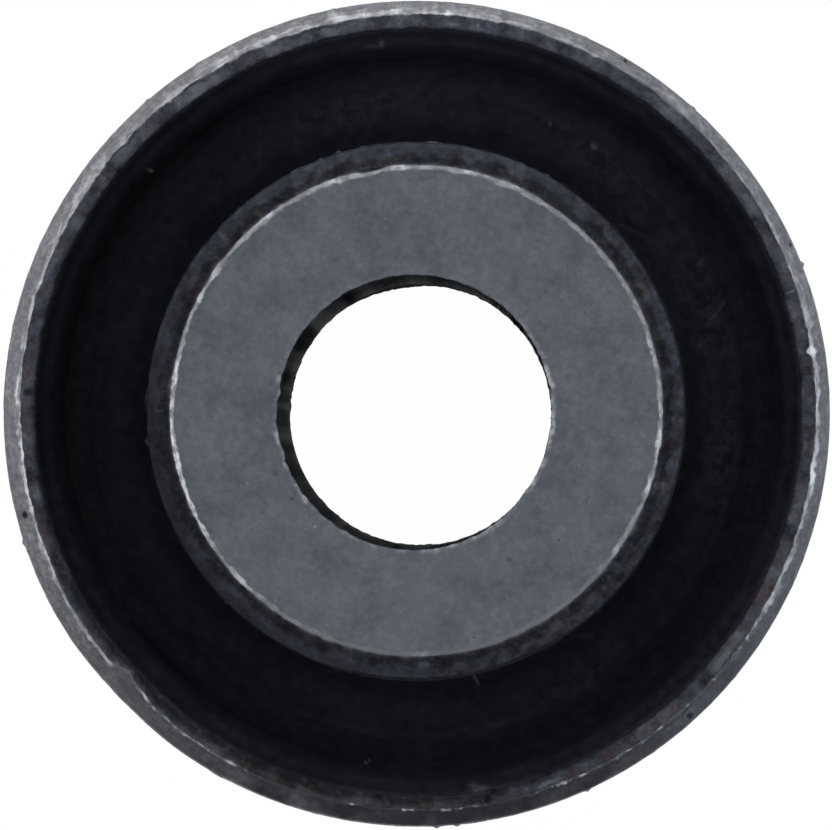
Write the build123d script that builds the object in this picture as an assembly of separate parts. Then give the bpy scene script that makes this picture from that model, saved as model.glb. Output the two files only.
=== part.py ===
from build123d import *
import os

# Rubber metal bush: a thick inner sleeve and a thin outer sleeve of steel, with rubber
# moulded and bonded between them. All three are turned about Z and share one axis.
# The bush stands on the lower end of its inner sleeve, with the origin at the middle
# of that end. Sizes are in millimetres.

# Layers, from the axis outward. They add up to the outside diameter of 36.
bore_diameter = 12.0
inner_wall = 5.7
rubber_thickness = 5.05
outer_wall = 1.25

# Lengths along the axis. The inner sleeve stands out at both ends by the same amount.
outer_length = 40.0
projection = 5.0

# Inner sleeve: a flat ring for clamping at each end, between two chamfers.
bore_edge_break = 0.2
clamp_chamfer_width = 1.0
clamp_chamfer_height = 0.6

# Outer sleeve: a steep lead for pressing in, and a flat end out to it.
inside_edge_break = 0.1
lead_width = 0.57
lead_height = 0.9

# Rubber: the same moulded form at both ends. Outward from the inner sleeve it is a raised
# ring, a groove with a flat floor, and a lip that climbs the outer sleeve. The ring takes the
# width that the groove and the lip leave. Depths are below the end of the outer sleeve.
lip_width = 0.95
lip_top_depth = 0.4
lip_edge_depth = 1.1
groove_width = 1.4
groove_floor_depth = 2.8
groove_wall_lean = 0.25
groove_flank_lean = 0.45
ring_edge_depth = 2.0
ring_crown_depth = 1.3
ring_root_depth = 2.1

# Radii and heights that follow from the sizes above.
bore_radius = bore_diameter / 2
inner_outside = bore_radius + inner_wall
outer_inside = inner_outside + rubber_thickness
outer_outside = outer_inside + outer_wall
inner_length = outer_length + 2 * projection
middle_height = inner_length / 2


def turned_sleeve(inside, outside, length, inside_corner, outside_corner):
    # A tube from z = 0, with both ends alike. Each corner is (width, height) of what is cut off.
    inside_width, inside_height = inside_corner
    outside_width, outside_height = outside_corner
    section = Polyline(
        (inside, inside_height),
        (inside + inside_width, 0),
        (outside - outside_width, 0),
        (outside, outside_height),
        (outside, length - outside_height),
        (outside - outside_width, length),
        (inside + inside_width, length),
        (inside, length - inside_height),
        close=True,
    )
    return revolve(Plane.XZ * make_face(section), Axis.Z)


def rubber_end_form(end_height):
    # The line of the rubber's upper end, from the inner sleeve out to the outer sleeve.
    lip_edge = outer_inside - lip_width
    ring_edge = lip_edge - groove_width
    ring_crown = (inner_outside + ring_edge) / 2
    groove_floor_height = end_height - groove_floor_depth
    ring = ThreePointArc(
        (inner_outside, end_height - ring_root_depth),
        (ring_crown, end_height - ring_crown_depth),
        (ring_edge, end_height - ring_edge_depth),
    )
    groove_and_lip = Polyline(
        ring @ 1,
        (ring_edge + groove_flank_lean, groove_floor_height),
        (lip_edge - groove_wall_lean, groove_floor_height),
        (lip_edge, end_height - lip_edge_depth),
        (outer_inside, end_height - lip_top_depth),
    )
    return Curve() + [ring, groove_and_lip]


def moulded_rubber():
    # The section is drawn about mid length, so its lower end is the upper end turned over.
    half_length = outer_length / 2
    inner_corner = half_length - ring_root_depth
    outer_corner = half_length - lip_top_depth
    upper_end = rubber_end_form(half_length)
    lower_end = mirror(upper_end, about=Plane.XZ)
    inner_side = Line((inner_outside, -inner_corner), (inner_outside, inner_corner))
    outer_side = Line((outer_inside, -outer_corner), (outer_inside, outer_corner))
    section = make_face(Curve() + [inner_side, upper_end, outer_side, lower_end])
    return Pos(0, 0, middle_height) * revolve(Plane.XZ * section, Axis.Z)


inner_sleeve = turned_sleeve(
    bore_radius,
    inner_outside,
    inner_length,
    (bore_edge_break, bore_edge_break),
    (clamp_chamfer_width, clamp_chamfer_height),
)
outer_sleeve = Pos(0, 0, projection) * turned_sleeve(
    outer_inside,
    outer_outside,
    outer_length,
    (inside_edge_break, inside_edge_break),
    (lead_width, lead_height),
)
rubber_body = moulded_rubber()

pieces = {
    "inner_sleeve": inner_sleeve,
    "rubber_body": rubber_body,
    "outer_sleeve": outer_sleeve,
}

os.makedirs("parts", exist_ok=True)
for name, piece in pieces.items():
    export_step(piece, f"parts/{name}.step")
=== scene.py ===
import bpy
import math
import numpy as np
from mathutils import Matrix, Vector, noise


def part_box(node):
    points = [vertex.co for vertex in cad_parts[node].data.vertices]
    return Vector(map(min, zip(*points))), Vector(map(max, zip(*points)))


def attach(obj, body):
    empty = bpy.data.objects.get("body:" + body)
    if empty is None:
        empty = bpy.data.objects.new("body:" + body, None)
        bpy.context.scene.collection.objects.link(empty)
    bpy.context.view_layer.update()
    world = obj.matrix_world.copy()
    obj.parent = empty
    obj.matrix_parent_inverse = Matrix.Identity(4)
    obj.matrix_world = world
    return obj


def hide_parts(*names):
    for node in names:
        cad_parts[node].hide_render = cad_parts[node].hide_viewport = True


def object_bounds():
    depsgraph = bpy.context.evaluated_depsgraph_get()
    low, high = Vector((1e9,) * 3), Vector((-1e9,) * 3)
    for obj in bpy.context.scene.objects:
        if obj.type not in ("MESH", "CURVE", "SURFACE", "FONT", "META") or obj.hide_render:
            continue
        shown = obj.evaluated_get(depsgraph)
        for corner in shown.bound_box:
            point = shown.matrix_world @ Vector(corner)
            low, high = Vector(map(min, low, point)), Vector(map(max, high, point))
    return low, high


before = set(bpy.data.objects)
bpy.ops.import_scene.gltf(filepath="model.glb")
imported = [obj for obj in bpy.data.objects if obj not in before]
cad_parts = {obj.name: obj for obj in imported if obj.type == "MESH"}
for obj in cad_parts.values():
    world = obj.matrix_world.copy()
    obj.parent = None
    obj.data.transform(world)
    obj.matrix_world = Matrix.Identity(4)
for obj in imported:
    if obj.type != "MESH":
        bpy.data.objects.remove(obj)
cadLow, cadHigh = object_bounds()

mm = 0.001
fullTurn = 2 * math.pi
boxMargin = 1e-6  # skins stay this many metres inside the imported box

# The camera looks down the bore. Marks on the bush are placed by an angle counted
# anticlockwise from the right side of that view, and by a radius from the axis.
mainView = {
    "upBearing": 300,  # which side of the bush is up in the view, degrees from +X
    "frontDistance": 790,  # from the lens to the upper clamping face
    "sideStep": 4.45,  # how far the lens stands to the right of the axis
    "downStep": 1.67,  # and how far below it in the view
    "imageWidth": 832,
    "imageHeight": 830,
    "outlineRadius": 413.4,  # pixels that the outer sleeve's radius takes in the image
    "outlineAcross": 416.65,  # pixel at the middle of the outline, from the left
    "outlineDown": 413.65,  # and from the top
    "sensorWidth": 36,
    "clipNear": 0.05,
    "clipFar": 5,
}
upAngle = math.radians(mainView["upBearing"])
rightAngle = upAngle - math.pi / 2


def intoScene(name, data):
    made = bpy.data.objects.new(name, data)
    bpy.context.scene.collection.objects.link(made)
    return made


def nodeSize(name):
    low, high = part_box(name)
    return high.x / mm, low.z / mm, high.z / mm


def lumps(points, size, seed, octaves):
    # soft noise about 0 at points in mm, with lumps of about this size
    shift = Vector((17.3, -9.1, 5.7)) * seed
    return np.array([noise.fractal(Vector(p) / size + shift, 0.8, 2.0, octaves) for p in points])


def around(angles, radius, size, seed, octaves):
    # the same noise once round a ring, meeting itself at the start
    ring = np.stack([np.cos(angles), np.sin(angles), np.zeros_like(angles)], 1) * radius
    return lumps(ring, size, seed, octaves)


def over(angles, radii, depths, size, seed, octaves):
    points = np.stack([radii * np.cos(angles), radii * np.sin(angles), depths + 0 * radii], -1)
    return lumps(points, size, seed, octaves)


def spot(angles, radii, mark):
    # 1 in the middle of a mark and 0 away from it; mark is (degrees, radius, along, across)
    degrees, radius, along, across = mark
    turn = (angles - math.radians(degrees) + math.pi) % fullTurn - math.pi
    return np.exp(-(turn * radius / along) ** 2 - ((radii - radius) / across) ** 2)


def spots(angles, radii, marks):
    # the sum of marks that carry their height last: (degrees, radius, along, across, height)
    total = np.zeros_like(angles)
    for *mark, height in marks:
        total += height * spot(angles, radii, mark)
    return total


def edgeSpots(angles, radius, marks):
    # the same for marks on an edge, which need no reach across it: (degrees, along, height)
    marks = [(degrees, radius, along, 1, height) for degrees, along, height in marks]
    return spots(angles, radius, marks)


def lines(angles, radii, marks):
    # the sum of thin straight marks: degrees and radius at both ends, half width, height
    across, up = radii * np.cos(angles), radii * np.sin(angles)
    total = np.zeros_like(across)
    for degrees, radius, endDegrees, endRadius, width, height in marks:
        a, b = math.radians(degrees), math.radians(endDegrees)
        start = np.array([radius * math.cos(a), radius * math.sin(a)])
        step = np.array([endRadius * math.cos(b), endRadius * math.sin(b)]) - start
        share = (across - start[0]) * step[0] + (up - start[1]) * step[1]
        share = np.clip(share / (step @ step), 0, 1)
        away = (across - start[0] - share * step[0]) ** 2 + (up - start[1] - share * step[1]) ** 2
        total += height * np.exp(-away / width ** 2)
    return total


def smooth(values, low, high):
    step = np.clip((values - low) / (high - low), 0, 1)
    return step * step * (3 - 2 * step)


def sector(angles, start, stop, soft):
    # 1 between two angles in degrees, fading over the soft angle at both sides
    middle = math.radians((start + stop) / 2)
    half = math.radians((stop - start) / 2)
    away = np.abs((angles - middle + math.pi) % fullTurn - math.pi)
    return 1 - smooth(away, half, half + math.radians(soft))


def sectors(angles, parts):
    # the sum of such stretches, each with its share: (start, stop, soft, share)
    total = np.zeros_like(angles)
    for start, stop, soft, share in parts:
        total += share * sector(angles, start, stop, soft)
    return total


def byAngle(angles, marks):
    # a value given at a few angles in degrees, and blended in between
    places, values = zip(*marks)
    return np.interp(np.degrees(angles), places, values, period=360)


def alongOffset(angles, offset):
    # how much an off-centre circle adds to the radius at each angle
    return offset[0] * np.cos(angles) + offset[1] * np.sin(angles)


steelMasks = ["worn", "shine", "coat", "rust", "turned", "paintedLeadShade"]
rubberMasks = ["paintedShading", "dustAndLight", "fleck"]


class Rows:
    # rows of points round the axis, in order along the section, with their masks
    def __init__(self, count, maskNames):
        self.angles = np.arange(count) * fullTurn / count
        self.radii = []
        self.heights = []
        self.masks = {name: [] for name in maskNames}

    def add(self, radius, height, **masks):
        flat = np.zeros_like(self.angles)
        self.radii.append(radius + flat)
        self.heights.append(height + flat)
        for name, values in self.masks.items():
            values.append(masks.get(name, 0) + flat)

    def addEnd(self, section, facing, endHeight):
        # rows given outward with their depth below one end; the lower end runs the other way
        for radius, depth, masks in section[::facing]:
            self.add(radius, endHeight - facing * depth, **masks)

    def skin(self, name):
        # one closed skin; the last row joins the first
        radii, heights = np.array(self.radii), np.array(self.heights)
        rows, count = radii.shape
        turned = self.angles + rightAngle
        places = np.stack([radii * np.cos(turned), radii * np.sin(turned), heights], -1) * mm
        for axis in (0, 1):
            least, most = cadLow[axis] + boxMargin, cadHigh[axis] - boxMargin
            places[..., axis] = np.clip(places[..., axis], least, most)
        index = np.arange(rows * count).reshape(rows, count)
        nextRow = np.roll(index, -1, 0)
        corners = np.stack([index, nextRow, np.roll(nextRow, -1, 1), np.roll(index, -1, 1)], -1)
        mesh = bpy.data.meshes.new(name)
        mesh.from_pydata(places.reshape(-1, 3).tolist(), [], corners.reshape(-1, 4).tolist())
        for maskName, values in self.masks.items():
            layer = mesh.attributes.new(maskName, "FLOAT", "POINT")
            layer.data.foreach_set("value", np.clip(np.array(values), 0, 1).astype(np.float32).ravel())
        mesh.shade_smooth()
        return intoScene(name, mesh)


# short ways to put shader nodes together

def newMaterial(name):
    material = bpy.data.materials.new(name)
    material.use_nodes = True
    material.node_tree.nodes.clear()
    return material, material.node_tree


def put(tree, kind, inputs=None, **settings):
    # a node with its settings, and inputs given as values or as other sockets
    made = tree.nodes.new(kind)
    for key, value in settings.items():
        setattr(made, key, value)
    for key, value in (inputs or {}).items():
        if isinstance(value, bpy.types.NodeSocket):
            tree.links.new(value, made.inputs[key])
        else:
            made.inputs[key].default_value = value
    return made


def calc(tree, operation, a, b=0.0, clamp=False):
    return put(tree, "ShaderNodeMath", {0: a, 1: b}, operation=operation, use_clamp=clamp).outputs[0]


def times(tree, a, b):
    return calc(tree, "MULTIPLY", a, b)


def plus(tree, a, b):
    return calc(tree, "ADD", a, b)


def vector(tree, operation, a, b):
    return put(tree, "ShaderNodeVectorMath", {0: a, 1: b}, operation=operation).outputs[0]


def span(tree, value, low, high, toLow=0.0, toHigh=1.0, soft=False):
    inputs = {"Value": value, "From Min": low, "From Max": high, "To Min": toLow, "To Max": toHigh}
    kind = "SMOOTHSTEP" if soft else "LINEAR"
    return put(tree, "ShaderNodeMapRange", inputs, interpolation_type=kind).outputs["Result"]


def colour(red, green, blue):
    return (red, green, blue, 1)


def blend(tree, amount, a, b, kind="MIX"):
    a, b = (colour(*c) if isinstance(c, tuple) else c for c in (a, b))
    inputs = {0: amount, 6: a, 7: b}
    return put(tree, "ShaderNodeMix", inputs, data_type="RGBA", blend_type=kind).outputs[2]


def atLevel(tree, level, shade):
    # a colour times a plain level
    plain = put(tree, "ShaderNodeCombineColor", {0: level, 1: level, 2: level}).outputs[0]
    return blend(tree, 1.0, shade, plain, "MULTIPLY")


def ramp(tree, value, stops):
    made = put(tree, "ShaderNodeValToRGB", {0: value})
    while len(made.color_ramp.elements) < len(stops):
        made.color_ramp.elements.new(0.5)
    for element, (position, shade) in zip(made.color_ramp.elements, stops):
        element.position = position
        element.color = colour(*shade)
    return made.outputs[0]


def mask(tree, name):
    return put(tree, "ShaderNodeAttribute", attribute_name=name).outputs["Fac"]


def inMillimetres(tree):
    place = put(tree, "ShaderNodeTexCoord").outputs["Object"]
    return vector(tree, "MULTIPLY", place, (1 / mm, 1 / mm, 1 / mm))


def grain(tree, place, size, detail, roughness=0.55):
    inputs = {"Vector": place, "Scale": 1 / size, "Detail": detail, "Roughness": roughness}
    return put(tree, "ShaderNodeTexNoise", inputs).outputs["Fac"]


def sway(tree, value, amount):
    # noise about one half turned into a push of this size either way
    return times(tree, calc(tree, "SUBTRACT", value, 0.5), 2 * amount)


def fromAxis(tree, place):
    # the direction and the distance of a point from the axis
    flat = vector(tree, "MULTIPLY", place, (1, 1, 0))
    unit = put(tree, "ShaderNodeVectorMath", {0: flat}, operation="NORMALIZE").outputs[0]
    return unit, put(tree, "ShaderNodeVectorMath", {0: flat}, operation="LENGTH").outputs["Value"]


def ringGrain(tree, place, radius, along, across, roughness=0.55):
    # noise drawn out along the ring or across it
    unit, reach = fromAxis(tree, place)
    height = put(tree, "ShaderNodeSeparateXYZ", {0: place}).outputs["Z"]
    section = times(tree, calc(tree, "SUBTRACT", reach, height), 1 / across)
    ring = vector(tree, "MULTIPLY", unit, (radius / along, radius / along, 0))
    ring = vector(tree, "ADD", ring, put(tree, "ShaderNodeCombineXYZ", {2: section}).outputs[0])
    inputs = {"Vector": ring, "Scale": 1.0, "Detail": 3.0, "Roughness": roughness}
    return put(tree, "ShaderNodeTexNoise", inputs).outputs["Fac"]


def mean(tree, *parts):
    # a sum of sockets, each with its share
    total = times(tree, *parts[0])
    for part, share in parts[1:]:
        total = plus(tree, total, times(tree, part, share))
    return total


def flakes(tree, place, size):
    # scales that each have a tone of their own, with wandering borders
    drift = put(tree, "ShaderNodeTexNoise", {"Vector": place, "Scale": 1.5 / size, "Detail": 2.0})
    drift = vector(tree, "SUBTRACT", drift.outputs["Color"], (0.5, 0.5, 0.5))
    drift = vector(tree, "MULTIPLY", drift, (size * 1.5,) * 3)
    cells = {"Vector": vector(tree, "ADD", place, drift), "Scale": 1 / size, "Smoothness": 0.4}
    cells = put(tree, "ShaderNodeTexVoronoi", cells, feature="SMOOTH_F1").outputs["Color"]
    return put(tree, "ShaderNodeSeparateColor", {0: cells}).outputs[0]


def specks(tree, place, size, reach, share, channel):
    # small round marks in a share of the cells
    cells = put(tree, "ShaderNodeTexVoronoi", {"Vector": place, "Scale": 1 / size})
    disc = span(tree, cells.outputs["Distance"], reach, reach * 0.4, soft=True)
    lot = put(tree, "ShaderNodeSeparateColor", {0: cells.outputs["Color"]}).outputs[channel]
    return times(tree, disc, span(tree, lot, 1 - share, 1 - share + 0.04))


# The steel of both sleeves. The masks say where it was turned bright (turned), where that turned
# steel is darkened again as painted shade, darkest at the bottom, where black bonding primer and
# scale are left on it (coat), where it is freckled brown (rust), and where an edge was rubbed to bare
# metal (worn) and how bright a painted highlight that bare metal gets. Everything else is grey
# phosphate.
steelFinish = {
    "phosphate": [(0, (0.07, 0.078, 0.09)), (0.5, (0.093, 0.102, 0.115)), (1, (0.119, 0.128, 0.142))],
    "phosphateViolet": (0.095, 0.095, 0.112),
    "turned": [(0, (0.175, 0.18, 0.196)), (0.5, (0.262, 0.268, 0.287)), (1, (0.43, 0.435, 0.45))],
    "wall": [(0, (0.19, 0.195, 0.208)), (0.5, (0.245, 0.251, 0.266)), (1, (0.33, 0.336, 0.35))],
    # the colour of painted shade on turned steel
    "paintedLeadShade": [(0, (0.008, 0.0075, 0.011)), (1, (0.021, 0.02, 0.027))],
    "primer": [
        (0, (0.014, 0.014, 0.017)), (0.3, (0.031, 0.033, 0.043)), (0.55, (0.046, 0.051, 0.067)),
        (0.8, (0.067, 0.075, 0.096)), (1, (0.105, 0.111, 0.132)),
    ],
    "primerBrown": (1.2, 0.92, 0.8),
    "bore": [(0, (0.048, 0.051, 0.064)), (0.5, (0.12, 0.125, 0.148)), (1, (0.48, 0.45, 0.41))],
    "boreSheen": (0.76, 0.84, 1),
    "boreWithin": 7.0,  # upright steel nearer to the axis than this is the bore's
    "wornDull": (0.12, 0.125, 0.137),
    # the colour of painted highlights on bare edges
    "highlightColour": (0.68, 0.69, 0.72),
    "rust": (0.045, 0.037, 0.032),
    "pit": (0.03, 0.032, 0.037),
    "fleck": (0.2, 0.21, 0.23),
    # sizes of its grain in mm
    "fineGrain": 0.1,
    "smallGrain": 0.3,
    "scaleSize": 0.36,
    "mottleSize": 0.8,
    "brownSize": 1.1,
    "cloudSize": 1.9,
    "wideCloud": 7.0,
    # grain drawn out round the axis or along it: radius, size along the ring, size across it
    "dashes": (18, 1, 0.32),
    "streaks": (18, 0.7, 0.34),
    "drawn": (18, 7, 0.1),
    "scuffs": (18, 0.14, 5),
}


def makeSteel(name, finish):
    material, tree = newMaterial(name)
    place = inMillimetres(tree)
    worn, shine, coat, rust, turned, paintedLeadShade = (mask(tree, n) for n in steelMasks)
    fine = grain(tree, place, finish["fineGrain"], 3)
    small = grain(tree, place, finish["smallGrain"], 4, 0.6)
    clouds = grain(tree, vector(tree, "ADD", place, (5, 53, 11)), finish["cloudSize"], 4, 0.6)
    scales = flakes(tree, place, finish["scaleSize"])
    dashes = ringGrain(tree, place, *finish["dashes"])
    streaks = ringGrain(tree, place, *finish["streaks"], roughness=0.5)

    tone = mean(tree, (small, 0.38), (fine, 0.12), (clouds, 0.50))
    shade = ramp(tree, span(tree, tone, 0.40, 0.60), finish["phosphate"])
    violet = span(tree, mean(tree, (clouds, 0.7), (scales, 0.3)), 0.50, 0.68, 0, 0.75)
    shade = blend(tree, violet, shade, finish["phosphateViolet"])
    flecks = specks(tree, place, 0.6, 0.15, 0.08, 0)
    shade = blend(tree, times(tree, flecks, 0.45), shade, finish["fleck"])
    pits = specks(tree, vector(tree, "ADD", place, (3, 1, 8)), 0.9, 0.20, 0.10, 1)
    shade = blend(tree, times(tree, pits, 0.45), shade, finish["pit"])

    turnedTone = mean(tree, (streaks, 0.26), (small, 0.32), (fine, 0.20), (clouds, 0.22))
    turnedShade = ramp(tree, span(tree, turnedTone, 0.40, 0.60), finish["turned"])
    wide = grain(tree, vector(tree, "ADD", place, (31, 3, 17)), finish["wideCloud"], 4, 0.6)
    drawn = ringGrain(tree, place, *finish["drawn"], roughness=0.6)
    scuffs = ringGrain(tree, place, *finish["scuffs"], roughness=0.6)
    wallTone = mean(tree, (wide, 0.36), (drawn, 0.26), (scuffs, 0.04), (clouds, 0.18), (small, 0.16))
    wallShade = ramp(tree, span(tree, wallTone, 0.42, 0.58), finish["wall"])
    level = put(tree, "ShaderNodeSeparateXYZ", {0: put(tree, "ShaderNodeNewGeometry").outputs["Normal"]})
    upright = span(tree, calc(tree, "ABSOLUTE", level.outputs["Z"]), 0.10, 0.35, 1, 0)
    turnedShade = blend(tree, upright, turnedShade, wallShade)
    # turned steel darkened as painted shade
    leadShadeColour = ramp(tree, span(tree, turnedTone, 0.38, 0.62), finish["paintedLeadShade"])
    shade = blend(tree, turned, shade, blend(tree, paintedLeadShade, turnedShade, leadShadeColour))

    ragged = plus(tree, coat, sway(tree, small, 0.30))
    coated = times(tree, span(tree, ragged, 0.25, 0.50, soft=True), span(tree, coat, 0.02, 0.15))
    mottle = grain(tree, vector(tree, "ADD", place, (21, 7, 2)), finish["mottleSize"], 5, 0.66)
    primerTone = mean(tree, (mottle, 0.44), (small, 0.24), (fine, 0.12), (scales, 0.04), (clouds, 0.16))
    calm = span(tree, rust, 0.0, 0.10, 0.150, 0.105)
    low, high = calc(tree, "SUBTRACT", 0.5, calm), plus(tree, 0.5, calm)
    primer = ramp(tree, span(tree, primerTone, low, high), finish["primer"])
    brown = grain(tree, vector(tree, "ADD", place, (2, 31, 9)), finish["brownSize"], 4, 0.6)
    brown = times(tree, span(tree, brown, 0.44, 0.60), span(tree, rust, 0.0, 0.9, 0.10, 1.0))
    primer = blend(tree, brown, primer, finish["primerBrown"], "MULTIPLY")
    depth = span(tree, plus(tree, coat, sway(tree, small, 0.12)), 0.55, 1.0, 1.0, 0.25)
    depth = times(tree, depth, span(tree, paintedLeadShade, 0.3, 1.0, 1.0, 0.5))
    shade = blend(tree, coated, shade, atLevel(tree, depth, primer))
    inside = calc(tree, "LESS_THAN", fromAxis(tree, place)[1], finish["boreWithin"])
    inside = times(tree, times(tree, inside, upright), coated)
    shade = blend(tree, inside, shade, ramp(tree, span(tree, coat, 0.4, 1.0, 1, 0), finish["bore"]))
    rusty = span(tree, mean(tree, (small, 0.6), (clouds, 0.4)), 0.54, 0.60, soft=True)
    rusty = times(tree, times(tree, rusty, rust), 0.7)
    shade = blend(tree, rusty, shade, finish["rust"])

    edge = plus(tree, worn, plus(tree, sway(tree, dashes, 0.30), sway(tree, small, 0.08)))
    bare = times(tree, span(tree, edge, 0.30, 0.75, soft=True), span(tree, worn, 0.02, 0.20))
    # painted highlights on bare edges, as strong as the shine mask gives
    paintedHighlight = span(tree, mean(tree, (dashes, 0.7), (small, 0.3)), 0.42, 0.60, 0.30, 1.25, soft=True)
    paintedHighlight = calc(tree, "MULTIPLY", paintedHighlight, shine, clamp=True)
    shade = blend(tree, bare, shade, blend(tree, paintedHighlight, finish["wornDull"], finish["highlightColour"]))

    rise = mean(tree, (fine, 0.6), (small, 1.4), (pits, -1.0))
    bump = put(tree, "ShaderNodeBump", {"Strength": 0.25, "Distance": 0.02 * mm, "Height": rise})
    clean = times(tree, turned, span(tree, paintedLeadShade, 0, 1, 0.3, 0.0))
    polish = calc(tree, "MAXIMUM", bare, clean)
    polish = times(tree, polish, span(tree, coat, 0.3, 0.7, 1, 0.4))
    sheen = span(tree, plus(tree, mottle, times(tree, coat, -0.5)), 0.11, 0.19, 0, 0.8)
    matt = times(tree, inside, calc(tree, "SUBTRACT", 1.0, sheen))
    matt = calc(tree, "SUBTRACT", 1.0, matt)
    skin = put(tree, "ShaderNodeBsdfPrincipled", {
        "Base Color": shade,
        "Metallic": times(tree, polish, 0.4),
        "Roughness": span(tree, polish, 0.0, 1.0, 0.70, 0.45),
        "Specular IOR Level": times(tree, span(tree, coated, 0, 1, 0.20, 0.07), matt),
        "Specular Tint": blend(tree, inside, (1, 1, 1), finish["boreSheen"]),
        "Normal": bump.outputs[0],
    })
    put(tree, "ShaderNodeOutputMaterial", {"Surface": skin.outputs[0]})
    return material


rubberFinish = {
    "black": [
        (0, (0.004, 0.0042, 0.0062)), (0.5, (0.006, 0.0063, 0.0087)), (1, (0.0088, 0.0091, 0.012)),
    ],
    "shadingMost": 3.5,  # how much paler the strongest painted light makes it
    "dustAndLight": (0.016, 0.016, 0.02),
    "fleck": (0.17, 0.175, 0.19),
}


def makeRubber(name, finish):
    material, tree = newMaterial(name)
    place = inMillimetres(tree)
    paintedShading, dustAndLight, fleck = (mask(tree, n) for n in rubberMasks)
    clouds = grain(tree, place, 1.7, 4, 0.6)
    patches = grain(tree, vector(tree, "ADD", place, (9, 4, 2)), 0.45, 3, 0.6)
    fine = grain(tree, place, 0.16, 3, 0.6)
    tone = mean(tree, (clouds, 0.5), (patches, 0.5))
    shade = ramp(tree, span(tree, tone, 0.34, 0.66), finish["black"])
    # paler under painted light, darker under painted shade
    shade = atLevel(tree, span(tree, paintedShading, 0, 1, 0, finish["shadingMost"]), shade)
    # dust smudges, and painted light on the lip
    smear = span(tree, plus(tree, patches, sway(tree, fine, 0.15)), 0.42, 0.66)
    smear = times(tree, dustAndLight, smear)
    shade = blend(tree, times(tree, smear, 0.6), shade, finish["dustAndLight"])
    fleck = times(tree, fleck, span(tree, fine, 0.30, 0.50, 0.4, 1.0))
    shade = blend(tree, fleck, shade, finish["fleck"])
    rise = plus(tree, fine, patches)
    bump = put(tree, "ShaderNodeBump", {"Strength": 0.3, "Distance": 0.02 * mm, "Height": rise})
    skin = put(tree, "ShaderNodeBsdfPrincipled", {
        "Base Color": shade,
        "Roughness": span(tree, clouds, 0.3, 0.7, 0.66, 0.78),
        "Specular IOR Level": 0.03,
        "Normal": bump.outputs[0],
    })
    put(tree, "ShaderNodeOutputMaterial", {"Surface": skin.outputs[0]})
    return material


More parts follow.
